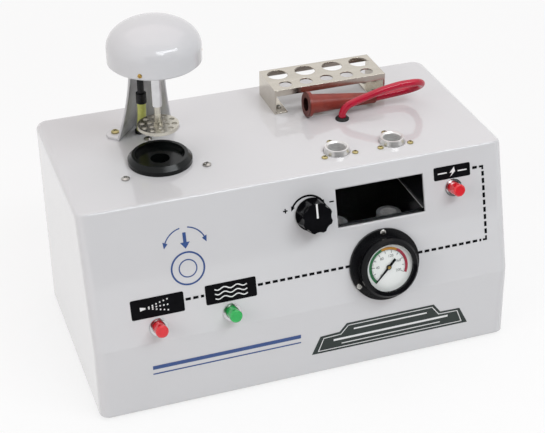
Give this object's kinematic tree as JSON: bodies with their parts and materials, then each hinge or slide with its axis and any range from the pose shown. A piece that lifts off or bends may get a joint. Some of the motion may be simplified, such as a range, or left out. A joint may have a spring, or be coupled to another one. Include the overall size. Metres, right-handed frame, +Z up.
{
  "type": "spark plug cleaner and tester",
  "caption": "Bench machine in a grey sloped case that blast-cleans spark plugs under a domed head and tests them in threaded sockets above a viewing window.",
  "frame": {"origin": "On the floor under the middle of the case.", "axes": "+X to the right as the operator sees the panel, +Y to the back, +Z up."},
  "size_m": [0.4, 0.2501, 0.3345],
  "materials": {
    "case_paint": "semi-gloss light grey enamel",
    "steel_sheet": "zinc plated",
    "bright_steel": "nickel plated",
    "chrome_trim": "bright chrome",
    "zinc_screws": "yellow zinc",
    "cast_alloy": "turned aluminium",
    "brass_parts": "plain brass",
    "black_rubber": "matte black rubber",
    "black_plastic": "glossy black",
    "red_cap": "glossy red",
    "green_cap": "glossy green",
    "lead_jacket": "crimson silicone jacket",
    "boot_rubber": "red-brown rubber",
    "clear_pane": "clear",
    "mirror_face": "polished",
    "black_sheet": "black enamel",
    "dial_white": "white enamel",
    "board_green": "green laminate",
    "hose_green": "yellow-green tube"
  },
  "bodies": {
    "case": {"case_shell": "case_paint", "base_plate": "steel_sheet", "rear_panel": "case_paint", "cover_screws": "steel_sheet", "rubber_feet": "black_rubber", "air_inlet": "brass_parts", "mains_gland": "black_plastic", "button_bezels": "chrome_trim", "button_nuts": "steel_sheet", "blast_valve": "cast_alloy", "air_valve": "cast_alloy", "tester_switch": "black_plastic", "blast_spring": "steel_sheet", "air_spring": "steel_sheet", "tester_spring": "steel_sheet", "regulator_nut": "steel_sheet", "regulator_body": "cast_alloy", "gauge_case": "black_plastic", "gauge_rim": "black_plastic", "gauge_dial": "dial_white", "gauge_lens": "clear_pane", "gauge_screws": "chrome_trim", "gauge_movement": "brass_parts", "window_pane": "clear_pane", "viewing_hood": "black_sheet", "hood_mirror": "mirror_face", "test_sockets": "cast_alloy", "socket_screws": "zinc_screws", "socket_nuts": "black_sheet", "adapter_rack": "bright_steel", "rack_screws": "zinc_screws", "ht_lead": "lead_jacket", "lead_grommet": "black_rubber", "lead_boot": "boot_rubber", "boot_terminal": "brass_parts", "coil_lead": "lead_jacket", "ignition_coil": "black_plastic", "driver_board": "board_green", "blast_ring": "black_rubber", "ring_screws": "chrome_trim", "blast_chamber": "cast_alloy", "blast_nozzle": "steel_sheet", "head_bracket": "case_paint", "bracket_screws": "zinc_screws", "head_dome": "case_paint", "dome_screws": "brass_parts", "cylinder_head": "cast_alloy", "cylinder_sleeve": "chrome_trim", "plunger_spring": "steel_sheet", "hose_fitting": "black_plastic", "air_hose": "hose_green", "hose_bulkhead": "black_plastic"},
    "blast_button": {"blast_button": "red_cap"},
    "air_button": {"air_button": "green_cap"},
    "tester_button": {"tester_button": "red_cap"},
    "knob": {"pressure_knob": "black_plastic", "regulator_spindle": "steel_sheet"},
    "needle": {"gauge_needle": "black_plastic"},
    "plunger": {"plunger_rod": "bright_steel", "presser_disc": "bright_steel"}
  },
  "joints": [
    {"name": "blast_press", "type": "slide", "parent": "case", "child": "blast_button", "axis": [0, 0.9633, -0.2685], "range_m": [0, 0.004], "stiffness_N_per_m": 300, "springref_m": -0.004, "deforming": ["blast_spring"]},
    {"name": "air_press", "type": "slide", "parent": "case", "child": "air_button", "axis": [0, 0.9633, -0.2685], "range_m": [0, 0.004], "stiffness_N_per_m": 300, "springref_m": -0.004, "deforming": ["air_spring"]},
    {"name": "tester_press", "type": "slide", "parent": "case", "child": "tester_button", "axis": [0, 0.9633, -0.2685], "range_m": [0, 0.004], "stiffness_N_per_m": 300, "springref_m": -0.004, "deforming": ["tester_spring"]},
    {"name": "pressure_turn", "type": "hinge", "parent": "case", "child": "knob", "pos_m": [0.0085, -0.08466, 0.16132], "axis": [0, -0.9633, 0.2685], "range_deg": [-75, 75]},
    {"name": "needle_swing", "type": "hinge", "parent": "case", "child": "needle", "pos_m": [0.074, -0.10077, 0.10352], "axis": [0, -0.9633, 0.2685], "range_deg": [-250, 0], "stiffness_Nm_per_rad": 0.0002, "springref_deg": 17.19},
    {"name": "plunger_stroke", "type": "slide", "parent": "case", "child": "plunger", "axis": [0, 0, 1], "range_m": [-0.026, 0], "stiffness_N_per_m": 100, "springref_m": 0.03, "deforming": ["plunger_spring"]}
  ]
}
